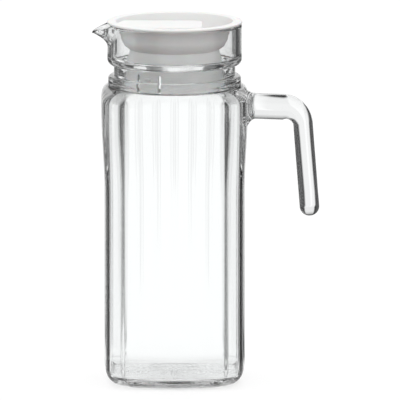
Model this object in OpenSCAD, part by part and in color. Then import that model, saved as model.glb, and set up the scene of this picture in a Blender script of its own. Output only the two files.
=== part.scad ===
// Square glass fridge jug with a hook handle, a pouring lip and a white push-in lid.
// The origin is the middle of the underside. +Z is up, the handle is on +X and the lip on -X.

/* [Body] */
// Height of the rim, which is the whole height of the jug without its lid
rim_h = 238.4; // [200:0.2:280]
// Width of the body across its flat sides, above the heel
body_w = 92.4; // [80:0.2:110]
// Height of the rounding between the sides and the shoulder's upper edge
shoulder_round = 7; // [5:0.5:9]
// How far each side spreads on its way up to the shoulder
flare = 2.2; // [0:0.1:3.5]
// Height over which the sides spread
flare_h = 57; // [40:1:80]
// How far below the shoulder's upper edge the sides are at their widest
flare_drop = 12.4; // [9:0.2:30]
// How much of each side the cut-off corner takes
corner_cut = 10.8; // [7:0.1:15]
// Flat panels on each face
panels = 6; // [4:1:8]
// How far the middle of a face stands proud of its ends
face_bow = 0.8; // [0.2:0.1:1.6]
// Rounding of the edges between the faces and the cut-off corners
edge_r = 4; // [2:0.5:8]
// Glass in the sides
wall = 4.5; // [3.5:0.1:6]
// Glass under the floor
floor_t = 6.5; // [4:0.1:9]

/* [Foot] */
// Height of the rounded heel
heel_h = 13; // [8:0.5:18]
// How far the heel draws in under the sides
heel_inset = 10.7; // [7:0.1:13]
// How round the face is that the jug stands on, from 0 for the body's outline to 1 for a circle
foot_round_share = 0.45; // [0:0.05:0.8]

/* [Neck] */
// Height of the neck, from the shoulder's upper edge to the rim
neck_h = 42; // [36:0.2:50]
// Height of the collar that holds the lid
collar_h = 27.4; // [23:0.2:32]
// How far the collar lies inside the body's sides
collar_inset = 1.7; // [0.5:0.1:5]
// Rounding of the collar's lower edge
collar_round = 4; // [2:0.1:6]
// Rounding of the rim's outer edge
rim_round = 1.8; // [0.8:0.1:2.4]
// Glass in the collar and the neck
neck_wall = 4; // [3:0.1:5]
// How far the neck draws in below the collar
waist_inset = 4.4; // [2:0.1:6]
// Height of the ring at the foot of the neck
ring_h = 7.4; // [5:0.2:9]
// How far that ring stands out from the neck
ring_out = 3.8; // [2:0.1:5]
// Rounding of the ring's edges
ring_round = 1.9; // [0.8:0.1:2.4]

/* [Lip] */
// How far the tip of the lip stands out from the collar
lip_reach = 9.9; // [6:0.1:13]
// How far the tip lies below the rim
lip_drop = 4.6; // [3:0.1:7]
// Height of the lip, from where it leaves the collar to its tip
lip_rise = 10.5; // [8:0.1:13]
// Half of the angle that the lip takes up of the collar
lip_half_angle = 24; // [16:1:32]
// Glass at the tip of the lip
lip_wall = 2.4; // [1.6:0.1:3.4]

/* [Handle] */
// How far the handle stands out from the body's side, at the bend
handle_out = 45.1; // [36:0.1:54]
// How far the arm's upper face lies below the shoulder's upper edge, at the bend
arm_drop = 5.6; // [4:0.1:12]
// Height of the whole handle, from the arm's upper face to the free end
handle_l = 80.8; // [60:0.2:110]
// Depth of the arm that leaves the body
arm_depth = 16.6; // [13:0.2:20]
// Thickness of the hanging grip
grip_t = 13; // [10:0.2:16]
// Width of the handle, front to back
handle_w = 18; // [14:0.2:24]
// Radius of the bend, on its outer side
bend_r = 20; // [17:0.5:26]
// Outward lean of the hanging grip, in degrees
grip_lean = 4.5; // [0:0.5:8]
// Fall of the arm from the body to the bend, in degrees
arm_fall = 2; // [0:0.5:5]
// Length over which the arm swells into the body
root_l = 7; // [5:0.2:10]
// How far the root swells upwards
root_rise = 4.5; // [2:0.1:5]
// How far the root swells downwards
root_drop = 12; // [6:0.5:16]
// How far the root swells to each side
root_side = 4; // [1:0.2:7]

/* [Lid] */
// How far the flange stands out past the collar
flange_over = 0.2; // [0:0.1:2]
// Thickness of the flange
flange_t = 1.5; // [1:0.1:2]
// Play between the rim and the flange
seat_gap = 0.1; // [0.05:0.05:0.3]
// Play between the collar's bore and the dish
dish_gap = 0.5; // [0.4:0.1:1]
// Plastic in the lid's walls
lid_wall = 1.5; // [1:0.1:2]
// Depth of the dish, from the top of the flange to its outer bottom
dish_depth = 19; // [16:0.2:22]
// How far the dish draws in from its edge to its upright wall
dish_taper = 4.5; // [3:0.1:6]
// Rounding between the dish's wall and its bottom
dish_round = 10; // [7:0.2:11]
// How far the lid reaches down into the jug
plug_depth = 45.2; // [38:0.2:48]
// How far the skirt stays in from the throat of the neck
skirt_gap = 3.4; // [2:0.1:6]
// Height of the skirt's upright part
skirt_h = 14.3; // [13:0.1:17]
// How far the plug draws in between the skirt and the dish
plug_inset = 3.7; // [2:0.1:5]
// Width of the grip bar that crosses the dish
bar_w = 35; // [28:0.5:40]
// Distance from the jug's axis to the free end of the grip bar
bar_reach = 18.5; // [10:0.5:22]
// How far the grip bar's top lies below the flange's top
bar_drop = 2.3; // [1:0.1:4]
// Rounding of the grip bar's free corners
bar_round = 6; // [3:0.5:8]

/* [Catches] */
// Spring tongues in the skirt, each with a catch
tongues = 3; // [2:1:4]
// Half of the angle between the two slits of a tongue
tongue_half_angle = 13; // [10:1:20]
// Width of a slit
slit_w = 1.2; // [0.8:0.1:2]
// Height of a slit
slit_h = 12.8; // [9:0.2:13]
// Width of a catch
catch_w = 3.6; // [2.4:0.1:6]
// Height of a catch
catch_h = 4.7; // [3:0.1:6]
// How far a catch stands out from the skirt
catch_out = 1.4; // [0.8:0.1:1.6]
// Play between a catch and the glass inside the ring
catch_gap = 0.3; // [0.2:0.1:1]
// Height of a catch's lower end above the bottom of the skirt
catch_low = 6; // [4:0.1:8]

/* [Hidden] */

// What a cut runs past the solid that it cuts, and a joined form into its neighbour
over = 1;
$fn = 64;

// Body, worked out from the sizes above
body_half = body_w / 2 - face_bow;
wide_half = body_half + flare;
face_w = 2 * (body_half - corner_cut);
shoulder_h = rim_h - neck_h;
shoulder_low_h = shoulder_h - shoulder_round;
flare_high_h = shoulder_h - flare_drop;
flare_low_h = flare_high_h - flare_h;
edge_steps = 3;
heel_steps = 5;
flare_steps = 6;
shoulder_steps = 5;
// The inside follows the outside at the wall's distance, so its faces are a little narrower
inner_half = body_half - wall;
inner_face_w = face_w - 2 * wall * tan(22.5);
inner_heel_share = 0.62;

// Neck. The shoulder ends a step outside the ring, and the cavity a step outside the throat.
collar_r = body_w / 2 - collar_inset;
collar_low_h = rim_h - collar_h;
neck_r = collar_r - waist_inset;
bore_r = collar_r - neck_wall;
throat_r = neck_r - neck_wall;
bore_low_h = collar_low_h + collar_round + neck_wall / 2;
seat_step = 0.25;
throat_step = 0.5;
seat_r = neck_r + ring_out + seat_step;

// Lip
lip_steps = 8;
lip_levels = 6;
lip_tip_h = rim_h - lip_drop;
lip_low_h = lip_tip_h - lip_rise;
// The lip's curve starts this far inside the face that it leaves
lip_sink = neck_wall / 4;

// Handle. The power makes its cross-section a little squarer than an ellipse, and the share keeps
// the last ring of the rounded end open.
handle_reach = body_w / 2 + handle_out;
handle_h = shoulder_h - arm_drop;
handle_end_h = handle_h - handle_l;
root_x = wide_half - wall / 3;
section_power = 0.75;
end_share = 0.96;
ring_points = 20;
root_steps = 5;
bend_steps = 8;
end_steps = 5;

// Lid
flange_r = collar_r + flange_over;
flange_round_share = 0.4;
flange_round = flange_t * flange_round_share;
lid_top_h = rim_h + seat_gap + flange_t;
skirt_r = throat_r - skirt_gap;
// The throat is narrower inside the ring, where the catches spring out towards the glass
hold_r = skirt_r + catch_out + catch_gap;
hold_low_h = shoulder_h + throat_r - hold_r;
dish_r = bore_r - dish_gap - lid_wall;
dish_low_h = lid_top_h - dish_depth;
dish_wall_r = dish_r + lid_wall - dish_taper;
plug_low_h = lid_top_h - plug_depth;
bar_top_h = lid_top_h - bar_drop;
arc_steps = 6;

function mix(a, b, share) = a + (b - a) * share;

// Turns a flat outline about the axis and lifts it to a height
function placed(points, angle, height) = [
    for (p = points)
        [p.x * cos(angle) - p.y * sin(angle), p.x * sin(angle) + p.y * cos(angle), height]
];

// A rounded edge between two straight sides that meet at 45 degrees: the corner point and the turn's start
function edge_arc(corner, start) = [
    for (i = [0 : edge_steps])
        let (a = start + 45 * i / edge_steps, back = edge_r / cos(22.5))
        [
            corner.x - back * cos(start + 22.5) + edge_r * cos(a),
            corner.y - back * sin(start + 22.5) + edge_r * sin(a)
        ]
];

// One face of the body in plan, with its flat panels and the cut-off corner that follows it
function face_outline(half, face_half) = concat(
    [for (i = [1 - panels / 2 : panels / 2 - 1]) let (t = 2 * i / panels)
        [half + face_bow * (1 - t * t), t * face_half]],
    edge_arc([half, face_half], 0),
    edge_arc([face_half, half], 45)
);

// The whole plan outline at a height, drawn towards a circle by a share from 0 to 1
function plan_ring(half, face_half, round_share, height) = [
    for (side = [0 : 3])
        for (p = placed(face_outline(half, face_half), 90 * side, height))
            let (r = norm([p.x, p.y]), k = mix(1, (half + face_bow) / r, round_share))
            [p.x * k, p.y * k, p.z]
];

// Rings of a heel that draws in to a foot face, from the bottom up
function heel_rings(half, face_half, inset, low, rise) = [
    for (k = [0 : heel_steps])
        let (a = 90 * k / heel_steps, half_here = half - inset * (1 - sin(a)))
        plan_ring(
            half_here,
            face_half * half_here / half,
            foot_round_share * (1 - sin(a)),
            low + rise * (1 - cos(a))
        )
];

// Rings of the outside, which spreads in a slow S below the shoulder
function side_rings(half, face_half, low, high) = [
    for (k = [0 : flare_steps]) let (t = k / flare_steps)
        plan_ring(half + flare * t * t * (3 - 2 * t), face_half, 0, mix(low, high, t))
];

// Rings of a shoulder that turns the square plan into a round one
function shoulder_rings(half, face_half, top_r, low, rise) = [
    for (k = [0 : shoulder_steps])
        let (a = 90 * k / shoulder_steps, half_here = mix(half, top_r - face_bow, 1 - cos(a)))
        plan_ring(half_here, face_half * half_here / half, 1 - cos(a), low + rise * sin(a))
];

// Closed solid through a row of rings that all have the same number of points
module loft(rings) {
    n = len(rings[0]);
    last = len(rings) - 1;
    polyhedron(
        points = [for (ring = rings) each ring],
        faces = concat(
            [[for (i = [0 : n - 1]) i]],
            [for (k = [0 : last - 1], i = [0 : n - 1]) let (j = (i + 1) % n)
                [k * n + i, (k + 1) * n + i, (k + 1) * n + j, k * n + j]],
            [[for (i = [n - 1 : -1 : 0]) last * n + i]]
        )
    );
}

// Square body, from the foot up to the shoulder
module body_form() {
    loft(concat(
        heel_rings(body_half, face_w / 2, heel_inset, 0, heel_h),
        side_rings(body_half, face_w / 2, flare_low_h, flare_high_h),
        shoulder_rings(wide_half, face_w / 2, seat_r, shoulder_low_h, shoulder_round)
    ));
}

// Space inside the body: its sides are upright, so the wall is thicker where the outside spreads
module body_cavity() {
    loft(concat(
        heel_rings(
            inner_half, inner_face_w / 2, heel_inset * inner_heel_share,
            floor_t, heel_h * inner_heel_share
        ),
        shoulder_rings(
            inner_half, inner_face_w / 2, throat_r + throat_step,
            shoulder_low_h - wall, shoulder_round
        )
    ));
}

// Half section of a disc whose outer edge is rounded below and above
module disc_section(r, low, high, round_low, round_high) {
    translate([0, low + round_low]) square([r, high - low - round_low - round_high]);
    translate([0, low]) square([r - round_low, high - low]);
    translate([0, low + round_low]) square([r - round_high, high - low - round_low]);
    translate([r - round_low, low + round_low]) intersection() {
        circle(round_low);
        square(2 * r, center = true);
    }
    translate([r - round_high, high - round_high]) circle(round_high);
}

// Neck with its foot ring and the collar above it, still solid
module neck_form() {
    rotate_extrude() {
        disc_section(
            neck_r + ring_out, shoulder_h - over, shoulder_h + ring_h, ring_round / 2, ring_round
        );
        translate([0, shoulder_h]) square([neck_r, collar_low_h + collar_round - shoulder_h]);
        disc_section(collar_r, collar_low_h, rim_h, collar_round, rim_round);
    }
}

// Bore of the collar, below its slope the narrow hold of the catches, and the throat under that
module neck_bore() {
    rotate_extrude() polygon([
        [0, shoulder_low_h - over],
        [throat_r, shoulder_low_h - over],
        [throat_r, shoulder_h],
        [hold_r, hold_low_h],
        [hold_r, collar_low_h],
        [bore_r, bore_low_h],
        [bore_r, rim_h + over],
        [0, rim_h + over]
    ]);
}

// Plan outline of the lip: a round swelling on a circle, closed behind the circle
function lip_ring(r, reach, height) = placed(concat(
    [for (i = [-lip_steps : lip_steps])
        let (t = i / lip_steps, out = r + reach * pow(cos(90 * t), 2))
        [out * cos(lip_half_angle * t), out * sin(lip_half_angle * t)]],
    [for (t = [1, -1])
        let (back = r - neck_wall / 2)
        [back * cos(lip_half_angle * t), back * sin(lip_half_angle * t)]]
), 180, height);

// Rings of the lip, from where it leaves the wall up to its tip, and straight above that
function lip_rings(r, reach, low, tip, top) = concat(
    [for (k = [0 : lip_levels]) let (a = 90 * k / lip_levels)
        lip_ring(r, reach * (1 - cos(a)), mix(low, tip, sin(a)))],
    [lip_ring(r, reach, top)]
);

// Pouring lip on the collar, cut off along a slope that runs from the rim down to the tip
module lip_form() {
    slope = atan2(lip_drop, lip_reach);
    difference() {
        loft(lip_rings(collar_r - lip_sink, lip_reach + lip_sink, lip_low_h, lip_tip_h, rim_h));
        translate([-collar_r, 0, rim_h]) rotate([0, -slope, 0])
            translate([-2 * lip_reach, -collar_r / 2, 0]) cube([2 * lip_reach, collar_r, lip_rise]);
    }
}

// Channel of the lip, open above and towards the bore
module lip_channel() {
    loft(lip_rings(
        bore_r - lip_sink, lip_reach + neck_wall - lip_wall + lip_sink,
        lip_low_h + lip_wall, lip_tip_h, rim_h + over
    ));
}

// Rounded cross-section of the handle at a point of its path, which heads down by an angle
function handle_ring(x, z, angle, width, depth) = [
    for (i = [0 : ring_points - 1])
        let (
            a = 360 * i / ring_points,
            u = width / 2 * sign(cos(a)) * pow(abs(cos(a)), section_power),
            v = depth / 2 * sign(sin(a)) * pow(abs(sin(a)), section_power)
        )
        [x + v * sin(angle), u, z + v * cos(angle)]
];

// Root of the handle, which swells into the body
function root_rings() = [
    for (k = [0 : root_steps])
        let (
            t = k / root_steps,
            swell = 1 - sqrt(1 - pow(1 - t, 2)),
            x = root_x + root_l * t,
            top = handle_h + (handle_reach - bend_r - x) * tan(arm_fall) + root_rise * swell,
            low = top - root_rise * swell - arm_depth - root_drop * swell
        )
        handle_ring(x, (top + low) / 2, 0, handle_w + 2 * root_side * swell, top - low)
];

// Bend of the handle, where the deep arm turns into the slimmer grip
function bend_rings() = [
    for (k = [0 : bend_steps])
        let (
            t = k / bend_steps,
            angle = mix(arm_fall, 90 - grip_lean, t),
            depth = mix(arm_depth, grip_t, t),
            r = bend_r - depth / 2
        )
        handle_ring(
            handle_reach - bend_r + r * sin(angle), handle_h - bend_r + r * cos(angle),
            angle, handle_w, depth
        )
];

// Hanging grip with its rounded free end
function grip_rings() = [
    for (k = [0 : end_steps])
        let (
            a = 90 * k / end_steps * end_share,
            z = mix(handle_end_h + grip_t / 2, handle_end_h, sin(a)),
            drop = handle_h - bend_r - z,
            x = handle_reach - grip_t / 2 + drop * tan(grip_lean)
        )
        handle_ring(x, z, 90 - grip_lean, handle_w * cos(a), grip_t * cos(a))
];

module handle_form() {
    loft(concat(root_rings(), bend_rings(), grip_rings()));
}

module glass_jug() {
    color("lightcyan", 0.5) difference() {
        union() {
            body_form();
            neck_form();
            lip_form();
            handle_form();
        }
        body_cavity();
        neck_bore();
        lip_channel();
    }
}

// Half section of a bowl: a sloping wall, a rounding and a flat bottom
module bowl_section(top_r, wall_r, low, top, rounding) {
    polygon(concat(
        [[0, low]],
        [for (k = [0 : arc_steps]) let (a = 90 * k / arc_steps)
            [wall_r - rounding * (1 - sin(a)), low + rounding * (1 - cos(a))]],
        [[top_r, top], [0, top]]
    ));
}

module dish_outside() {
    bowl_section(dish_r + lid_wall, dish_wall_r, dish_low_h, lid_top_h, dish_round);
}

module dish_inside() {
    bowl_section(
        dish_r, dish_wall_r - lid_wall, dish_low_h + lid_wall, lid_top_h + over, dish_round - lid_wall
    );
}

// Half section of the plug under the dish, drawn in by an inset
module plug_section(inset) {
    polygon([
        [0, plug_low_h - (inset > 0 ? over : 0)],
        [skirt_r - inset, plug_low_h - (inset > 0 ? over : 0)],
        [skirt_r - inset, plug_low_h + skirt_h],
        [skirt_r - plug_inset - inset, dish_low_h + lid_wall],
        [0, dish_low_h + lid_wall]
    ]);
}

// Flange, dish and hollow plug, turned about the axis
module lid_shell() {
    rotate_extrude() {
        difference() {
            union() {
                disc_section(flange_r, lid_top_h - flange_t, lid_top_h, flange_round, flange_round);
                dish_outside();
            }
            dish_inside();
        }
        difference() {
            plug_section(0);
            plug_section(lid_wall);
            dish_inside();
        }
    }
}

// Plan of the grip bar, drawn in by an inset
module bar_plan(inset) {
    half = bar_w / 2 - inset;
    reach = bar_reach - inset;
    r = bar_round - inset;
    translate([-dish_r, -half]) square([dish_r + reach - r, 2 * half]);
    translate([-dish_r, -half + r]) square([dish_r + reach, 2 * (half - r)]);
    for (side = [-1, 1]) translate([reach - r, side * (half - r)]) circle(r);
}

// Grip bar across the dish, inside the dish's own outline
module grip_bar() {
    foot_h = dish_low_h + lid_wall / 2;
    intersection() {
        translate([0, 0, foot_h]) linear_extrude(bar_top_h - foot_h) bar_plan(0);
        rotate_extrude() dish_outside();
    }
}

// Space under the grip bar, open to the plug below
module bar_hollow() {
    foot_h = dish_low_h - over;
    intersection() {
        translate([0, 0, foot_h]) linear_extrude(bar_top_h - lid_wall - foot_h) bar_plan(lid_wall);
        rotate_extrude() union() {
            dish_inside();
            plug_section(lid_wall);
            translate([0, foot_h]) square([skirt_r - plug_inset - lid_wall, over + 2 * lid_wall]);
        }
    }
}

// The two slits that free a spring tongue
module tongue_slits() {
    for (side = [-1, 1]) rotate(side * tongue_half_angle)
        translate([skirt_r - 2 * lid_wall, -slit_w / 2, plug_low_h - over])
            cube([3 * lid_wall, slit_w, slit_h + over]);
}

// Catch on a tongue, with a slope below that leads it in
module tongue_catch() {
    translate([0, catch_w / 2, plug_low_h + catch_low]) rotate([90, 0, 0])
        linear_extrude(catch_w) polygon([
            [skirt_r - lid_wall / 2, 0],
            [skirt_r + catch_out, catch_h - catch_out / 2],
            [skirt_r + catch_out, catch_h],
            [skirt_r - lid_wall / 2, catch_h]
        ]);
}

module lid() {
    color("white") {
        difference() {
            union() {
                lid_shell();
                grip_bar();
            }
            bar_hollow();
            for (i = [0 : tongues - 1]) rotate(360 / tongues * i) tongue_slits();
        }
        for (i = [0 : tongues - 1]) rotate(360 / tongues * i) tongue_catch();
    }
}

glass_jug();
lid();
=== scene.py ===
import math
import random

import bmesh
import bpy
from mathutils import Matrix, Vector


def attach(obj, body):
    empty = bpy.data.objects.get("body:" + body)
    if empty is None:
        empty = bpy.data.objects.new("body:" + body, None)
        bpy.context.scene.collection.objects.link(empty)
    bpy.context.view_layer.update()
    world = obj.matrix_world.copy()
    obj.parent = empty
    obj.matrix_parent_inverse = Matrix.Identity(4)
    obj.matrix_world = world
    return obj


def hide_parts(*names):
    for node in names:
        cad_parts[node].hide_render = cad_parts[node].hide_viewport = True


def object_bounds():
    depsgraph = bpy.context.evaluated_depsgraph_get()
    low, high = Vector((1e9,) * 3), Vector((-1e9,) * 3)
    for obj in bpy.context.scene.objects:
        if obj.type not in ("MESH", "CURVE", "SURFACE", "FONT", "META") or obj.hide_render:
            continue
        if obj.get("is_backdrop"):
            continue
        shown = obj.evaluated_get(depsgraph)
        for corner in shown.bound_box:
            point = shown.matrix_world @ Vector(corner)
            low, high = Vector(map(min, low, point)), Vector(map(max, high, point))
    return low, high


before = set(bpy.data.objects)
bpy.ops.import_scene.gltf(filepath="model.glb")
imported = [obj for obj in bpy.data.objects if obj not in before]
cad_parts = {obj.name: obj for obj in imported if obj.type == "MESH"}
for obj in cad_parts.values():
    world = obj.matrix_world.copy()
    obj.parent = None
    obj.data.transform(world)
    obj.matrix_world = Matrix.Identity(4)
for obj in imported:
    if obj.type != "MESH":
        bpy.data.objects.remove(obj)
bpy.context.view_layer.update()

# Camera. It stands where the photograph was taken from: a long lens, square on to the front of the
# jug and about nine degrees above it, so that upright edges stay parallel.
MM = 0.001
photo_size = 400
photo_mm_per_pixel = 0.6606
photo_axis_x = 174.6
photo_foot_y = 379.8
camera_rise = math.radians(8.9)
lens_mm = 1600
sensor_mm = 36

field = photo_size * photo_mm_per_pixel * MM
camera_distance = field * lens_mm / sensor_mm
aim_x = (photo_size / 2 - photo_axis_x) * photo_mm_per_pixel * MM
aim_z = (photo_foot_y - photo_size / 2) * photo_mm_per_pixel / math.cos(camera_rise) * MM

camera_back = camera_distance * math.cos(camera_rise)
camera_up = camera_distance * math.sin(camera_rise)

bpy.ops.object.camera_add(
    location=(aim_x, -camera_back, aim_z + camera_up), rotation=(math.radians(90) - camera_rise, 0, 0)
)
camera = bpy.context.object
camera.data.lens = lens_mm
camera.data.sensor_width = sensor_mm
camera.data.clip_end = 100
bpy.context.scene.camera = camera
bpy.context.scene.view_settings.view_transform = "Standard"


# Glass jug. The real one is a single piece of clear soda-lime glass, pressed in a mould and
# fire-polished: a square body with cut-off corners and panelled faces, a round neck and a hook handle.
def start_piece(name):
    """Makes the object that an operator has just added the piece of that name, ready to be shaped."""
    piece = bpy.context.object
    piece.name = name
    piece.data.name = name
    bpy.ops.object.mode_set(mode="EDIT")
    bpy.ops.mesh.select_mode(type="VERT")
    bpy.ops.mesh.select_all(action="SELECT")
    return piece


def pick(piece, wanted, mode="VERT"):
    """Selects the vertices or edges of a piece in edit mode that pass the test wanted."""
    bpy.ops.mesh.select_all(action="DESELECT")
    bpy.ops.mesh.select_mode(type=mode)
    mesh = bmesh.from_edit_mesh(piece.data)
    for part in mesh.verts if mode == "VERT" else mesh.edges:
        if wanted(part):
            part.select = True
    mesh.select_flush_mode()
    bmesh.update_edit_mesh(piece.data)


def picked(piece):
    """The selected vertices of a piece in edit mode."""
    return [v for v in bmesh.from_edit_mesh(piece.data).verts if v.select]


def cross_section(name, half, face_half, edge_round, ridge):
    """A flat ring: a square with cut-off corners and rounded edges, whose faces bow out a little and
    have a fine ridge between each two panels."""
    bpy.ops.object.select_all(action="DESELECT")
    bpy.ops.mesh.primitive_plane_add(size=2 * half)
    piece = start_piece(name)
    bpy.ops.mesh.delete(type="ONLY_FACE")
    bpy.ops.mesh.select_all(action="SELECT")
    bpy.ops.mesh.bevel(offset=half - face_half, segments=1, affect="VERTICES")
    # The four long edges become faces of six panels, between corners that stay whole
    pick(piece, lambda e: e.calc_length() > 1.9 * face_half, "EDGE")
    bpy.ops.mesh.subdivide(number_cuts=panels - 1)
    for v in bmesh.from_edit_mesh(piece.data).verts:
        along = min(abs(v.co.x), abs(v.co.y)) / face_half
        if along < 0.99:
            axis = 0 if abs(v.co.x) > abs(v.co.y) else 1
            v.co[axis] += math.copysign(face_bow * (1 - along * along), v.co[axis])
    # Each line between two panels gets a flank on both sides, and its middle is raised
    pick(piece, lambda v: min(abs(v.co.x), abs(v.co.y)) < 0.99 * face_half)
    bpy.ops.mesh.bevel(offset=ridge_half, segments=2, affect="VERTICES", profile=0.5)
    for v in bmesh.from_edit_mesh(piece.data).verts:
        place = min(abs(v.co.x), abs(v.co.y)) * panels / (2 * face_half)
        if place < panels / 2 - 0.5 and abs(place - round(place)) < 0.01:
            axis = 0 if abs(v.co.x) > abs(v.co.y) else 1
            v.co[axis] += math.copysign(ridge, v.co[axis])
    pick(piece, lambda v: min(abs(v.co.x), abs(v.co.y)) > 0.99 * face_half)
    edge_offset = edge_round * math.tan(corner_turn)
    bpy.ops.mesh.bevel(offset=edge_offset, segments=edge_steps, affect="VERTICES", profile=0.5)
    pick(piece, lambda e: e.calc_length() > 2.5 * edge_round / edge_steps, "EDGE")
    bpy.ops.mesh.subdivide(number_cuts=panel_cuts)
    bpy.ops.mesh.select_mode(type="VERT")
    bpy.ops.mesh.select_all(action="SELECT")
    return piece


def next_ring(piece, height, half, roundness=0.0, before=0.0):
    """Draws the open edge of the glass on to a new height and half width, rounder than before."""
    bpy.ops.mesh.extrude_region_move()
    if roundness > before:
        bpy.ops.transform.tosphere(value=1 - (1 - roundness) / (1 - before))
    ring = picked(piece)
    level = ring[0].co.z
    scale = half / max(v.co.x for v in ring)
    bpy.ops.transform.resize(value=(scale, scale, 1), center_override=(0, 0, level))
    bpy.ops.transform.translate(value=(0, 0, height - level))


def quarter(steps, first=0):
    """Angles of a quarter turn, for a rounding."""
    return [math.radians(90) * k / steps for k in range(first, steps + 1)]


def smooth_step(t):
    """The share of a way that starts and ends gently."""
    return t * t * (3 - 2 * t)


def shell(piece, down, up):
    """Closes the ring below through the rings of down, then raises it through the rings of up."""
    start = [v.index for v in bmesh.from_edit_mesh(piece.data).verts]
    before = 0.0
    for height, half, roundness in down:
        next_ring(piece, height, half, roundness, before)
        before = max(before, roundness)
    bpy.ops.mesh.edge_face_add()
    bpy.ops.mesh.poke()
    mesh = bmesh.from_edit_mesh(piece.data)
    mesh.verts.ensure_lookup_table()
    bpy.ops.mesh.select_all(action="DESELECT")
    for index in start:
        mesh.verts[index].select = True
    mesh.select_flush_mode()
    bmesh.update_edit_mesh(piece.data)
    before = 0.0
    for height, half, roundness in up:
        next_ring(piece, height, half, roundness, before)
        before = max(before, roundness)


def ring_order(ring):
    """The vertices of a ring in their order round the axis, from the +X side."""
    whole = round(math.radians(360), 5)
    return sorted(ring, key=lambda v: round(math.atan2(v.co.y, v.co.x) % math.radians(360), 5) % whole)


face_half = 34.6 * MM
face_bow = 0.8 * MM
corner_turn = math.radians(22.5)
edge_round = 4 * MM
edge_steps = 4
panels = 6
panel_cuts = 3
heel_steps = 12
shoulder_steps = 12
rounding_steps = 6
fillet_steps = 4
ridge_half = 0.4 * MM
ridge_high = 0.09 * MM
body_half = 46.2 * MM
wide_half = 48.4 * MM
wall = 4.5 * MM
floor_height = 6.5 * MM
heel_height = 13 * MM
heel_inset = 10.7 * MM
foot_roundness = 0.45
middle_roundness = 0.9
flare_low = 127 * MM
flare_high = 184 * MM
shoulder_low = 189.4 * MM
shoulder_high = 196.4 * MM
neck_r = 40.1 * MM
ring_r = 43.9 * MM
ring_high = 203.8 * MM
ring_round = 1.9 * MM
ring_seat = 0.2 * MM
fillet = 0.9 * MM
collar_low = 211 * MM
collar_r = 44.5 * MM
collar_round = 4 * MM
rim_high = 238.4 * MM
rim_round = 1.8 * MM
throat_r = 36.1 * MM
hold_r = 34.4 * MM
bore_r = 40.5 * MM
bore_low = 217 * MM

# Outside: from above the heel down to the middle of the foot, then up to the rim
foot_half = body_half - heel_inset
outside = cross_section("glass_jug_body", body_half - face_bow, face_half, edge_round, ridge_high)
bpy.ops.transform.translate(value=(0, 0, heel_height))
foot_down = [
    (
        heel_height * (1 - math.sin(a)),
        foot_half + heel_inset * math.cos(a),
        foot_roundness * (1 - math.cos(a)),
    )
    for a in quarter(heel_steps, 1)
]
foot_rings = 34
foot_down += [
    (
        0,
        foot_half * (1 - k / foot_rings),
        foot_roundness + (middle_roundness - foot_roundness) * k / foot_rings,
    )
    for k in range(1, foot_rings)
]
side_rings = 6
sides_up = [
    (heel_height + (flare_low - heel_height) * k / side_rings, body_half, 0)
    for k in range(1, side_rings + 1)
]
flare_rings = 14
sides_up += [
    (
        flare_low + (flare_high - flare_low) * k / flare_rings,
        body_half + (wide_half - body_half) * smooth_step(k / flare_rings),
        0,
    )
    for k in range(1, flare_rings + 1)
]
sides_up += [(shoulder_low, wide_half, 0)]
shoulder_r = ring_r + 2 * ring_seat
sides_up += [
    (
        shoulder_low + (shoulder_high - shoulder_low) * math.sin(a),
        shoulder_r + (wide_half - shoulder_r) * math.cos(a),
        1 - math.cos(a),
    )
    for a in quarter(shoulder_steps, 1)
]


def rounded_edge(r, height, rounding, turn):
    """Rings of a rounded edge on a disc: turn is up for the lower edge and over for the upper one."""
    centre = r - rounding
    angles = quarter(rounding_steps)
    if turn == "up":
        return [(height + rounding * (1 - math.cos(a)), centre + rounding * math.sin(a), 1) for a in angles]
    return [(height - rounding * (1 - math.sin(a)), centre + rounding * math.cos(a), 1) for a in angles]


neck_up = [(shoulder_high, ring_r + ring_seat, 1), (shoulder_high + 0.5 * MM, ring_r, 1)]
neck_up += rounded_edge(ring_r, ring_high, ring_round, "over")
neck_up += [
    (ring_high + fillet * (1 - math.cos(a)), neck_r + fillet * (1 - math.sin(a)), 1)
    for a in quarter(fillet_steps)
]
neck_up += [(collar_low - 0.3 * MM, neck_r, 1)]
neck_up += rounded_edge(collar_r, collar_low, collar_round, "up")
collar_rings = 16
collar_straight = (rim_high - rim_round) - (collar_low + collar_round)
neck_up += [
    (collar_low + collar_round + collar_straight * k / collar_rings, collar_r, 1)
    for k in range(1, collar_rings)
]
neck_up += rounded_edge(collar_r, rim_high, rim_round, "over")
shell(outside, foot_down, sides_up + neck_up)
rim = [v.co.copy() for v in ring_order(picked(outside))]
bpy.ops.object.mode_set(mode="OBJECT")

# Inside: from above the inner heel down to the middle of the floor, then up to the rim
inner_half = body_half - wall
inner_face_half = face_half - wall * math.tan(corner_turn)
inner_edge_round = 1.6 * MM
inner_heel = 3 * MM
inner_inset = 3 * MM
inner_heel_steps = 10
inner_low = floor_height + inner_heel
# Next to nothing: it gives the inner shell as many points as the outer one
inner_ridge = 0.005 * MM
inside = cross_section(
    "glass_jug_cavity", inner_half - face_bow, inner_face_half, inner_edge_round, inner_ridge
)
bpy.ops.transform.translate(value=(0, 0, inner_low))
floor_down = [
    (
        inner_low - inner_heel * math.sin(a),
        inner_half - inner_inset * (1 - math.cos(a)),
        foot_roundness * (1 - math.cos(a)),
    )
    for a in quarter(inner_heel_steps, 1)
]
floor_rings = 12
floor_down += [
    (
        floor_height,
        (inner_half - inner_inset) * (1 - k / floor_rings),
        foot_roundness + (middle_roundness - foot_roundness) * k / floor_rings,
    )
    for k in range(1, floor_rings)
]
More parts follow.
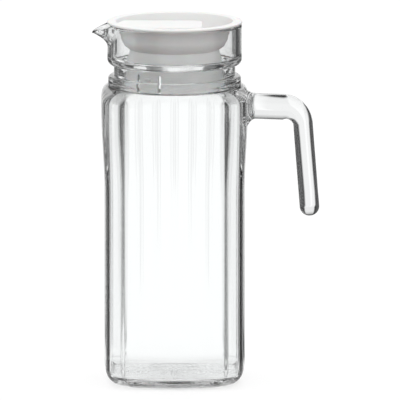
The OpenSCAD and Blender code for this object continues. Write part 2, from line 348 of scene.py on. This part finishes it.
# The shoulder inside runs along with the one outside, so that the glass shows through it undistorted
inner_shoulder_low = shoulder_low - 1.8 * MM
inner_shoulder_rise = 8.4 * MM
inner_shoulder_r = throat_r + 0.5 * MM
inner_side_rings = 10
inside_up = [
    (inner_low + (inner_shoulder_low - inner_low) * k / inner_side_rings, inner_half, 0)
    for k in range(1, inner_side_rings + 1)
]
inside_up += [
    (
        inner_shoulder_low + inner_shoulder_rise * math.sin(a),
        inner_shoulder_r + (inner_half - inner_shoulder_r) * math.cos(a),
        1 - math.cos(a),
    )
    for a in quarter(shoulder_steps, 1)
]
inside_up += [(inner_shoulder_low + inner_shoulder_rise + ring_seat, throat_r, 1)]
# The throat narrows inside the ring, where the catches of the lid hold, and widens to the bore above
hold_low = shoulder_high + 0.4 * MM
hold_high = hold_low + 3 * MM
throat_rings = 6
for start_r, start, end_r, end in (
    (throat_r, hold_low, hold_r, hold_high),
    (hold_r, collar_low, bore_r, bore_low),
):
    inside_up += [
        (
            start + (end - start) * k / throat_rings,
            start_r + (end_r - start_r) * smooth_step(k / throat_rings),
            1,
        )
        for k in range(throat_rings + 1)
    ]
inner_rim_round = 0.8 * MM
bore_rings = 14
inside_up += [
    (bore_low + (rim_high - inner_rim_round - bore_low) * k / bore_rings, bore_r, 1)
    for k in range(1, bore_rings + 1)
]
inside_up += [
    (rim_high - inner_rim_round * (1 - math.sin(a)), bore_r + inner_rim_round * (1 - math.cos(a)), 1)
    for a in quarter(fillet_steps, 1)
]
shell(inside, floor_down, inside_up)

# The two shells become one wall: the inner one runs on over the rim and meets the outer one there
bpy.ops.mesh.extrude_region_move()
for v, place in zip(ring_order(picked(inside)), rim):
    v.co = place
bmesh.update_edit_mesh(inside.data)
bpy.ops.object.mode_set(mode="OBJECT")
bpy.ops.object.select_all(action="DESELECT")
inside.select_set(True)
outside.select_set(True)
bpy.context.view_layer.objects.active = outside
bpy.ops.object.join()
jug = outside
bpy.ops.object.mode_set(mode="EDIT")
bpy.ops.mesh.select_all(action="SELECT")
bpy.ops.mesh.remove_doubles(threshold=0.001 * MM)
bpy.ops.mesh.select_all(action="SELECT")
bpy.ops.mesh.normals_make_consistent(inside=False)
bpy.ops.object.mode_set(mode="OBJECT")

# The lip is drawn out of the hot rim: the glass on the -X side moves out, most at the top
lip_half_angle = math.radians(24)
lip_reach = 9.9 * MM
lip_drop = 4.6 * MM
lip_outer_low = 223.3 * MM
lip_inner_low = 225.7 * MM
lip_wall = 2.4 * MM
lip_inner_reach = lip_reach + (collar_r - bore_r) - lip_wall
for v in jug.data.vertices:
    r = math.hypot(v.co.x, v.co.y)
    away = abs(math.atan2(v.co.y, -v.co.x)) / lip_half_angle
    outer = r > (collar_r + bore_r) / 2
    low = lip_outer_low if outer else lip_inner_low
    if away >= 1 or v.co.z < low or r < throat_r:
        continue
    swell = math.cos(away * math.pi / 2) ** 2
    climb = min(1, (v.co.z - low) / (rim_high - rim_round - low))
    out = (lip_reach if outer else lip_inner_reach) * swell * climb * climb
    v.co.x *= (r + out) / r
    v.co.y *= (r + out) / r
    v.co.z -= lip_drop * swell * climb

# Handle: a rounded bar drawn out of the side and bent down to a free, rounded end
handle_w = 18 * MM
arm_depth = 16.6 * MM
grip_t = 13 * MM
handle_reach = 91.28 * MM
handle_top = 190.8 * MM
handle_end = 110 * MM
bend_r = 20 * MM
grip_lean = math.radians(4.5)
arm_fall = math.radians(2)
root_x = wide_half - wall / 3
root_l = 7 * MM
root_rise = 4.5 * MM
root_drop = 12 * MM
root_side = 4 * MM
bar_round_share = 0.42

bpy.ops.object.select_all(action="DESELECT")
bpy.ops.mesh.primitive_plane_add(size=1)
handle = start_piece("glass_handle")
bpy.ops.mesh.delete(type="ONLY_FACE")
bpy.ops.mesh.select_all(action="SELECT")
bpy.ops.mesh.bevel(offset=bar_round_share, segments=10, affect="VERTICES", profile=0.5)
bpy.ops.mesh.select_all(action="SELECT")
bpy.ops.transform.rotate(value=math.radians(90), orient_axis="Y", center_override=(0, 0, 0))
handle_at = {"x": 0.0, "z": 0.0, "heading": 0.0, "width": 1.0, "depth": 1.0}


def next_section(x, z, heading, width, depth, extrude=True):
    """Draws the bar on to a new place, heading, width and depth."""
    at = handle_at
    if extrude:
        bpy.ops.mesh.extrude_region_move()
    for v in picked(handle):
        side = v.co.y / at["width"] * width
        out = (v.co.x - at["x"]) * math.sin(at["heading"]) + (v.co.z - at["z"]) * math.cos(at["heading"])
        out = out / at["depth"] * depth
        v.co = (x + out * math.sin(heading), side, z + out * math.cos(heading))
    bmesh.update_edit_mesh(handle.data)
    at.update(x=x, z=z, heading=heading, width=width, depth=depth)


root_steps = 12
for k in range(root_steps + 1):
    t = k / root_steps
    swell = 1 - math.sqrt(1 - (1 - t) ** 2)
    x = root_x + root_l * t
    top = handle_top + (handle_reach - bend_r - x) * math.tan(arm_fall) + root_rise * swell
    low = top - root_rise * swell - arm_depth - root_drop * swell
    next_section(x, (top + low) / 2, 0, handle_w + 2 * root_side * swell, top - low, k > 0)
bend_steps = 18
for k in range(bend_steps + 1):
    t = k / bend_steps
    heading = arm_fall + (math.radians(90) - grip_lean - arm_fall) * t
    depth = arm_depth + (grip_t - arm_depth) * t
    r = bend_r - depth / 2
    next_section(
        handle_reach - bend_r + r * math.sin(heading), handle_top - bend_r + r * math.cos(heading),
        heading, handle_w, depth,
    )
grip_steps = 6
end_steps = 12
grip_heights = [
    handle_top - bend_r - (handle_top - bend_r - handle_end - grip_t / 2) * k / grip_steps
    for k in range(1, grip_steps)
]
grip_ends = [(handle_end + grip_t / 2 * (1 - math.sin(a)), math.cos(a)) for a in quarter(end_steps)]
for z, share in [(h, 1) for h in grip_heights] + grip_ends[:-1]:
    x = handle_reach - grip_t / 2 + (handle_top - bend_r - z) * math.tan(grip_lean)
    next_section(x, z, math.radians(90) - grip_lean, handle_w * share, grip_t * share)
bpy.ops.mesh.edge_face_add()
pick(handle, lambda v: abs(v.co.x - root_x) < 0.01 * MM)
bpy.ops.mesh.edge_face_add()
bpy.ops.mesh.select_all(action="SELECT")
bpy.ops.mesh.normals_make_consistent(inside=False)
bpy.ops.object.mode_set(mode="OBJECT")


def combine(piece, tool, operation):
    """Joins a tool solid to a piece, or cuts it away, and removes the tool."""
    bpy.ops.object.select_all(action="DESELECT")
    piece.select_set(True)
    bpy.context.view_layer.objects.active = piece
    cut = piece.modifiers.new("cut", "BOOLEAN")
    cut.object = tool
    cut.operation = operation
    cut.solver = "EXACT"
    bpy.ops.object.modifier_apply(modifier=cut.name)
    bpy.data.objects.remove(tool)


combine(jug, handle, "UNION")

# The foot is stippled by the mould: small random pits in the face that the jug stands on
stipple_depth = 0.35 * MM
random.seed(7)
for v in jug.data.vertices:
    if v.co.z < 0.01 * MM and math.hypot(v.co.x, v.co.y) < foot_half:
        v.co.z += stipple_depth * random.random()

bpy.ops.object.select_all(action="DESELECT")
jug.select_set(True)
bpy.context.view_layer.objects.active = jug
bpy.ops.object.shade_smooth()
bpy.ops.object.shade_smooth_by_angle(angle=math.radians(32))


def hex_colour(code):
    """The linear colour of an sRGB hex value."""
    parts = [int(code[i : i + 2], 16) / 255 for i in (1, 3, 5)]
    return tuple(p / 12.92 if p <= 0.04045 else ((p + 0.055) / 1.055) ** 2.4 for p in parts) + (1,)


def add_node(material, kind, settings, links):
    """Adds a node with its settings, and links its inputs to the outputs given for them."""
    node = material.node_tree.nodes.new(kind)
    for key, value in settings.items():
        if hasattr(node, key):
            setattr(node, key, value)
        else:
            node.inputs[key].default_value = value
    for key, output in links.items():
        material.node_tree.links.new(output, node.inputs[key])
    return node


# Soda-lime glass, fire-polished: clear, smooth and a little wavy from the mould
glass = bpy.data.materials.new("fire_polished_clear_glass")
glass.use_nodes = True
glass_shader = glass.node_tree.nodes["Principled BSDF"]
glass_shader.inputs["Base Color"].default_value = hex_colour("#FDFEFE")
glass_shader.inputs["Roughness"].default_value = 0.0
glass_shader.inputs["IOR"].default_value = 1.52
glass_shader.inputs["Transmission Weight"].default_value = 1.0
glass_place = add_node(glass, "ShaderNodeTexCoord", {}, {}).outputs["Object"]
glass_wave = add_node(
    glass, "ShaderNodeTexNoise", {"Scale": 60.0, "Detail": 1.0}, {"Vector": glass_place}
).outputs["Fac"]
glass_bump = add_node(
    glass, "ShaderNodeBump", {"Strength": 0.04, "Distance": 0.5 * MM}, {"Height": glass_wave}
)
glass.node_tree.links.new(glass_bump.outputs["Normal"], glass_shader.inputs["Normal"])
glass_depth = add_node(
    glass, "ShaderNodeVolumeAbsorption", {"Color": hex_colour("#E0E0E0"), "Density": 5.0}, {}
)
glass.node_tree.links.new(
    glass_depth.outputs["Volume"], glass.node_tree.nodes["Material Output"].inputs["Volume"]
)
jug.data.materials.clear()
jug.data.materials.append(glass)

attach(jug, "jug")
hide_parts("glass_jug")

# Lid. The real one is a single moulding of white polypropylene: a flange that lies on the rim, a dish
# with a hollow grip bar across it, and below that an open plug with three spring tongues.
flange_r = 44.7 * MM
flange_t = 1.5 * MM
flange_round = 0.6 * MM
lid_wall = 1.5 * MM
lid_top = 240 * MM
dish_r = 38.5 * MM
dish_edge_round = 0.5 * MM
dish_wall_r = 35.5 * MM
dish_low = 221 * MM
dish_round = 10 * MM
dish_slope = (dish_r + lid_wall - dish_wall_r) / (lid_top - dish_low - dish_round)
skirt_r = 32.7 * MM
skirt_low = 194.8 * MM
skirt_high = skirt_low + 14.3 * MM
skirt_round = 0.3 * MM
plug_inset = 3.7 * MM
lid_steps = 128
bar_half = 17.5 * MM
bar_reach = 18.5 * MM
bar_top = 237.7 * MM
bar_round = 6 * MM
bar_edge = 0.9 * MM
bar_sink = 0.75 * MM


def turned(name, section, steps):
    """A solid turned about the jug's axis, from a closed section or one that starts and ends on it."""
    bpy.ops.object.select_all(action="DESELECT")
    bpy.ops.mesh.primitive_plane_add(size=MM)
    piece = start_piece(name)
    bpy.ops.mesh.merge(type="CENTER")
    at = (0, 0)
    for k, (r, z) in enumerate(section):
        step = {"value": (r - at[0], 0, z - at[1])}
        if k == 0:
            bpy.ops.transform.translate(**step)
        else:
            bpy.ops.mesh.extrude_region_move(TRANSFORM_OT_translate=step)
        at = (r, z)
    bpy.ops.mesh.select_all(action="SELECT")
    bpy.ops.mesh.spin(steps=steps, angle=math.radians(360), center=(0, 0, 0), axis=(0, 0, 1))
    bpy.ops.mesh.select_all(action="SELECT")
    bpy.ops.mesh.remove_doubles(threshold=0.001 * MM)
    bpy.ops.mesh.select_all(action="SELECT")
    bpy.ops.mesh.normals_make_consistent(inside=False)
    bpy.ops.object.mode_set(mode="OBJECT")
    return piece


def arc(centre_r, centre_z, rounding, first, last, steps):
    """Points of a rounding in a section, from one angle to another, counted from straight outwards."""
    angles = [math.radians(first + (last - first) * k / steps) for k in range(steps + 1)]
    return [(centre_r + rounding * math.cos(a), centre_z + rounding * math.sin(a)) for a in angles]


def dish_form(inset, top):
    """Section of the space that the dish takes, from its middle to a height near its edge."""
    rounding = dish_round - inset
    centre = dish_wall_r - dish_round
    edge = dish_wall_r - inset + dish_slope * (top - dish_low - dish_round)
    corner = arc(centre, dish_low + dish_round, rounding, -90, 0, 10)
    return [(0, dish_low + inset)] + corner + [(edge, top)]


# The plug's cone starts on the dish's rounding, so the outside of the dish ends there
plug_meets_dish = (29.21 * MM, 221.71 * MM)
outer_dish_points = 9
under_flange = lid_top - flange_t
lid_section = dish_form(lid_wall, lid_top - dish_edge_round)
lid_section += [(dish_r + 0.1 * MM, lid_top - 0.15 * MM), (dish_r + dish_edge_round, lid_top)]
lid_section += arc(flange_r - flange_round, lid_top - flange_round, flange_round, 90, 0, 4)
lid_section += arc(flange_r - flange_round, under_flange + flange_round, flange_round, 0, -90, 4)
lid_section += dish_form(0, under_flange)[::-1][:outer_dish_points]
lid_section += [
    plug_meets_dish,
    (skirt_r - 0.1 * MM, skirt_high + 0.5 * MM),
    (skirt_r, skirt_high - 0.5 * MM),
    (skirt_r, skirt_low + skirt_round),
    (skirt_r - skirt_round, skirt_low),
    (skirt_r - lid_wall, skirt_low),
    (skirt_r - lid_wall, skirt_high),
    (skirt_r - lid_wall - plug_inset, dish_low),
    (0, dish_low),
]
lid = turned("lid_moulding", lid_section, lid_steps)


def grip_bar(name, inset, low, top, edge):
    """The grip bar, or its hollow where it is inset: a block with a rounded free end, kept in the dish."""
    bpy.ops.object.select_all(action="DESELECT")
    bpy.ops.mesh.primitive_plane_add(size=2, location=(0, 0, low))
    bar = start_piece(name)
    for v in bmesh.from_edit_mesh(bar.data).verts:
        v.co.x = bar_reach - inset if v.co.x > 0 else -dish_r
        v.co.y = math.copysign(bar_half - inset, v.co.y)
    pick(bar, lambda v: v.co.x > 0)
    bpy.ops.mesh.bevel(offset=bar_round - inset, segments=10, affect="VERTICES", profile=0.5)
    bpy.ops.mesh.select_all(action="SELECT")
    bpy.ops.mesh.extrude_region_move(TRANSFORM_OT_translate={"value": (0, 0, top - low)})
    if edge:
        pick(bar, lambda e: min(v.co.z for v in e.verts) > (top - low) / 2, "EDGE")
        bpy.ops.mesh.bevel(offset=edge, segments=4, affect="EDGES", profile=0.5)
    bpy.ops.mesh.select_all(action="SELECT")
    bpy.ops.mesh.normals_make_consistent(inside=False)
    bpy.ops.object.mode_set(mode="OBJECT")
    bpy.ops.object.transform_apply(location=True, rotation=False, scale=False)
    dish = turned(name + "_room", dish_form(inset + 0.2 * MM, lid_top) + [(0, lid_top)], lid_steps)
    if inset:
        way_r = skirt_r - plug_inset - lid_wall - MM
        way_low, way_high = dish_low - MM, dish_low + 2 * lid_wall
        way = [(0, way_low), (way_r, way_low), (way_r, way_high), (0, way_high)]
        combine(dish, turned(name + "_way", way, lid_steps // 2), "UNION")
    combine(bar, dish, "INTERSECT")
    return bar


combine(lid, grip_bar("bar", 0, dish_low + bar_sink, bar_top, bar_edge), "UNION")
combine(lid, grip_bar("hollow", lid_wall, dish_low - 0.5 * MM, bar_top - lid_wall, 0), "DIFFERENCE")

# Three spring tongues, each freed by two slits and carrying a catch with a lead-in slope
tongue_half = 7.4 * MM
slit_w = 2 * MM
slit_h = 12.8 * MM
catch_half = 1.8 * MM
catch_low = skirt_low + 6 * MM
catch_high = catch_low + 4.7 * MM
catch_out = 1.4 * MM
catch_round = 0.25 * MM


def block(name, low, high):
    """A block from its lowest to its highest corner."""
    bpy.ops.object.select_all(action="DESELECT")
    bpy.ops.mesh.primitive_cube_add(size=1)
    piece = start_piece(name)
    for v in bmesh.from_edit_mesh(piece.data).verts:
        v.co = [high[i] if v.co[i] > 0 else low[i] for i in range(3)]
    return piece


def turn(piece, degrees):
    """Turns the mesh of a piece about the jug's axis and leaves edit mode."""
    bpy.ops.mesh.select_all(action="SELECT")
    bpy.ops.transform.rotate(value=-math.radians(degrees), orient_axis="Z", center_override=(0, 0, 0))
    bpy.ops.object.mode_set(mode="OBJECT")


for bearing in (0, 120, 240):
    for side in (-1, 1):
        slit = block(
            "slit",
            (skirt_r - 3 * lid_wall, side * tongue_half - slit_w / 2, skirt_low - MM),
            (skirt_r + lid_wall, side * tongue_half + slit_w / 2, skirt_low + slit_h),
        )
        # The two long edges of its top, for a rounded end
        pick(
            slit,
            lambda e: e.calc_length() > slit_w * 1.1 and all(v.co.z > skirt_low for v in e.verts),
            "EDGE",
        )
        bpy.ops.mesh.bevel(offset=slit_w * 0.45, segments=4, affect="EDGES", profile=0.5)
        turn(slit, bearing)
        combine(lid, slit, "DIFFERENCE")
    catch = block(
        "catch",
        (skirt_r - lid_wall / 2, -catch_half, catch_low),
        (skirt_r + catch_out, catch_half, catch_high),
    )
    for v in bmesh.from_edit_mesh(catch.data).verts:
        if v.co.x > skirt_r and v.co.z < catch_high - 0.1 * MM:
            v.co.z = catch_high - catch_out / 2
    pick(catch, lambda e: all(v.co.x > skirt_r for v in e.verts), "EDGE")
    bpy.ops.mesh.bevel(offset=catch_round, segments=2, affect="EDGES", profile=0.5)
    turn(catch, bearing)
    combine(lid, catch, "UNION")

bpy.ops.object.select_all(action="DESELECT")
lid.select_set(True)
bpy.context.view_layer.objects.active = lid
bpy.ops.object.shade_smooth()
bpy.ops.object.shade_smooth_by_angle(angle=math.radians(25))

# Polypropylene, injection moulded: white, satin, with the fine grain of a spark-eroded mould that
# only softens its highlights, and a little light that passes through the thin walls
plastic = bpy.data.materials.new("moulded_white_polypropylene")
plastic.use_nodes = True
plastic_shader = plastic.node_tree.nodes["Principled BSDF"]
plastic_shader.inputs["Roughness"].default_value = 0.38
plastic_shader.inputs["IOR"].default_value = 1.49
plastic_shader.inputs["Subsurface Weight"].default_value = 0.15
plastic_shader.inputs["Subsurface Scale"].default_value = 0.002
plastic_place = add_node(plastic, "ShaderNodeTexCoord", {}, {}).outputs["Object"]
plastic_grain = add_node(
    plastic, "ShaderNodeTexNoise", {"Scale": 900.0, "Detail": 2.0}, {"Vector": plastic_place}
).outputs["Fac"]
plastic_cloud = add_node(
    plastic, "ShaderNodeTexNoise", {"Scale": 40.0, "Detail": 2.0}, {"Vector": plastic_place}
).outputs["Fac"]
plastic_tone = add_node(plastic, "ShaderNodeMix", {"data_type": "RGBA"}, {"Factor": plastic_cloud})
plastic_tone.inputs["A"].default_value = hex_colour("#E9E9E8")
plastic_tone.inputs["B"].default_value = hex_colour("#EFEFEE")
plastic_bump = add_node(
    plastic, "ShaderNodeBump", {"Strength": 0.15, "Distance": 0.05 * MM}, {"Height": plastic_grain}
)
plastic.node_tree.links.new(plastic_tone.outputs["Result"], plastic_shader.inputs["Base Color"])
plastic.node_tree.links.new(plastic_bump.outputs["Normal"], plastic_shader.inputs["Normal"])
lid.data.materials.clear()
lid.data.materials.append(plastic)

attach(lid, "lid")
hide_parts("lid")

# Table. A white sheet of paper. Clear glass is seen by what stands round it, so to the glass alone the
# paper shows a photographer's setting: white near the jug and in strips that run away from its faces,
# and white, grey and nearly black cards beside them, which give the glass its dark edges.
bpy.ops.object.select_all(action="DESELECT")
bpy.ops.mesh.primitive_plane_add(size=40, location=(0, 0, -0.1 * MM))
floor = bpy.context.object
floor.name = "table"
paper = bpy.data.materials.new("white_paper")
paper.use_nodes = True
paper_tree = paper.node_tree
paper_shader = paper_tree.nodes["Principled BSDF"]
paper_shader.inputs["Roughness"].default_value = 0.9
paper_shader.inputs["Specular IOR Level"].default_value = 0.0


def between(owner, value, low, high, first, last):
    """A value that runs from first to last as another one runs from low to high, and stays there."""
    run = add_node(owner, "ShaderNodeMapRange", {}, {"Value": value})
    for key, number in (("From Min", low), ("From Max", high), ("To Min", first), ("To Max", last)):
        run.inputs[key].default_value = number
    return run.outputs["Result"]


def mixed(owner, factor, a, b):
    """A colour mixed from two others, each an output or a colour."""
    mix = add_node(owner, "ShaderNodeMix", {"data_type": "RGBA"}, {})
    for socket, source in ((mix.inputs[0], factor), (mix.inputs[6], a), (mix.inputs[7], b)):
        if isinstance(source, tuple):
            socket.default_value = source
        else:
            owner.node_tree.links.new(source, socket)
    return mix.outputs[2]


def maths(owner, operation, a, b, clamp=False):
    """The result of a sum, or of a function, with two outputs or numbers."""
    node = add_node(owner, "ShaderNodeMath", {"operation": operation, "use_clamp": clamp}, {})
    for socket, source in ((node.inputs[0], a), (node.inputs[1], b)):
        if isinstance(source, float):
            socket.default_value = source
        else:
            owner.node_tree.links.new(source, socket)
    return node.outputs[0]


def along(owner, place, direction):
    """How far a place lies along a level direction."""
    dot = add_node(owner, "ShaderNodeVectorMath", {"operation": "DOT_PRODUCT"}, {})
    owner.node_tree.links.new(place, dot.inputs[0])
    dot.inputs[1].default_value = (direction[0], direction[1], 0)
    return dot.outputs["Value"]


def grey(tone):
    """A neutral colour of that brightness, where 1 is white."""
    return (tone, tone, tone, 1)


def cards(owner, place, tones):
    """The tones round the jug by bearing in degrees, where 0 is straight ahead from the camera."""
    split = add_node(owner, "ShaderNodeSeparateXYZ", {}, {"Vector": place})
    bearing = maths(owner, "ARCTAN2", split.outputs["X"], split.outputs["Y"])
    share = between(owner, bearing, -math.pi, math.pi, 0, 1)
    ramp = add_node(owner, "ShaderNodeValToRGB", {}, {"Fac": share})
    points = ramp.color_ramp.elements
    while len(points) > 1:
        points.remove(points[-1])
    for k, (degrees, tone) in enumerate(tones):
        at = (degrees + 180) / 360
        point = points[0] if k == 0 else points.new(at)
        point.position = at
        point.color = grey(tone)
    return ramp.outputs["Color"]


def with_strips(owner, place, tones, bearings):
    """Lays white strips on the tones, as wide as the jug, each running away from it along a bearing."""
    for bearing in bearings:
        ahead = (math.sin(math.radians(bearing)), math.cos(math.radians(bearing)))
        side = maths(owner, "ABSOLUTE", along(owner, place, (ahead[1], -ahead[0])), 0.0)
        inside_strip = between(owner, side, strip_half, strip_half + strip_edge, 1, 0)
        in_front = between(owner, along(owner, place, ahead), 0, MM, 0, 1)
        tones = mixed(owner, maths(owner, "MULTIPLY", inside_strip, in_front), tones, grey(1.0))
    return tones


def light_path(owner):
    """Whether a ray shows its surroundings in the glass, comes from the camera, or has just left glass."""
    path = add_node(owner, "ShaderNodeLightPath", {}, {}).outputs
    either = maths(owner, "MAXIMUM", path["Is Glossy Ray"], path["Is Transmission Ray"])
    in_glass = maths(owner, "SUBTRACT", either, path["Diffuse Depth"], clamp=True)
    return in_glass, path["Is Camera Ray"], path["Is Transmission Ray"]


# Cards, as bearings and tones. Those ahead on the lip's side differ on the near and the far paper.
# The reaches are distances from the jug's axis in metres, each from the start of a change to its end.
white_reach = (0.085, 0.11)
far_reach = (0.5, 0.6)
shade_reach = (0.15, 0.6)
contact_reach = (0.036, 0.05)
cards_behind = [(-180, 0.95), (-160, 0.85), (-145, 0.2), (-115, 0.2), (-104, 0.95), (-76, 0.95)]
cards_behind += [(-68, 0.15)]
cards_near = [(-64, 0.15), (-58, 0.95), (-36, 0.95), (-31, 0.06), (-20, 0.04)]
cards_far = [(-36, 0.12), (-20, 0.04)]
cards_beside = [(-14, 0.88), (14, 0.88), (20, 0.04), (40, 0.06), (60, 0.12), (98, 0.12), (110, 0.95)]
cards_beside += [(155, 0.95), (165, 0.85), (180, 0.95)]
strip_bearings = [0, -45, -90, 135, 180]
strip_half = 46 * MM
strip_edge = 10 * MM

paper_place = add_node(paper, "ShaderNodeTexCoord", {}, {}).outputs["Object"]
paper_length = add_node(paper, "ShaderNodeVectorMath", {"operation": "LENGTH"}, {})
paper_tree.links.new(paper_place, paper_length.inputs[0])
paper_reach = paper_length.outputs["Value"]
paper_cards = mixed(
    paper,
    between(paper, paper_reach, *far_reach, 0, 1),
    cards(paper, paper_place, cards_behind + cards_near + cards_beside),
    cards(paper, paper_place, cards_behind + cards_far + cards_beside),
)
paper_cards = with_strips(paper, paper_place, paper_cards, strip_bearings)
paper_cards = mixed(paper, between(paper, paper_reach, *white_reach, 0, 1), grey(1.0), paper_cards)

# Painted shade: to matt surfaces the paper shows grey, darker near the jug and darker still to the plug
# behind the glass, so that what faces down there gets less light from below
paper_glass, paper_camera, paper_through = light_path(paper)
painted_paper_shade = mixed(
    paper,
    paper_through,
    between(paper, paper_reach, *shade_reach, 0.25, 1),
    between(paper, paper_reach, *shade_reach, 0.05, 0.15),
)
paper_seen = mixed(paper, paper_glass, mixed(paper, paper_camera, painted_paper_shade, grey(1.0)), paper_cards)
paper_tree.links.new(paper_seen, paper_shader.inputs["Base Color"])

# It glows as white as the background, but for a share of plain paper that takes the jug's shadow
paper_glow = add_node(paper, "ShaderNodeEmission", {}, {"Color": paper_seen})
paper_mix = add_node(paper, "ShaderNodeMixShader", {}, {})
paper_tree.links.new(between(paper, paper_reach, *contact_reach, 0.6, 0.85), paper_mix.inputs[0])
paper_tree.links.new(paper_shader.outputs[0], paper_mix.inputs[1])
paper_tree.links.new(paper_glow.outputs[0], paper_mix.inputs[2])
paper_tree.links.new(paper_mix.outputs[0], paper_tree.nodes["Material Output"].inputs["Surface"])
floor.data.materials.append(paper)
floor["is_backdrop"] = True

# Light. A room that is brightest overhead for the lid's top, and even for the plug behind the glass.
# The glass shows the same cards in it as on the far paper, with black cloth overhead.
room = bpy.data.worlds.new("white_room")
bpy.context.scene.world = room
room.use_nodes = True
room_place = add_node(room, "ShaderNodeTexCoord", {}, {}).outputs["Generated"]
room_rise = add_node(room, "ShaderNodeSeparateXYZ", {}, {"Vector": room_place}).outputs["Z"]
room_cards = cards(room, room_place, cards_behind + cards_far + cards_beside)
room_cards = mixed(room, between(room, room_rise, 0.25, 0.7, 0, 1), room_cards, grey(0.04))
room_glass, room_camera, room_through = light_path(room)
room_light = mixed(
    room,
    room_through,
    between(room, room_rise, 0.45, 1, 0.2, 2.6),
    between(room, room_rise, 0.3, 1, 2.0, 1.5),
)
room_seen = mixed(room, room_glass, mixed(room, room_camera, room_light, grey(1.0)), room_cards)
room_back = room.node_tree.nodes["Background"]
room.node_tree.links.new(room_seen, room_back.inputs["Color"])
room_back.inputs["Strength"].default_value = 1.0

# Light runs a long way inside thick glass before it leaves, so it is followed further than usual
cycles = bpy.context.scene.cycles
cycles.max_bounces = 24
cycles.glossy_bounces = 12
cycles.transmission_bounces = 24

low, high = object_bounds()
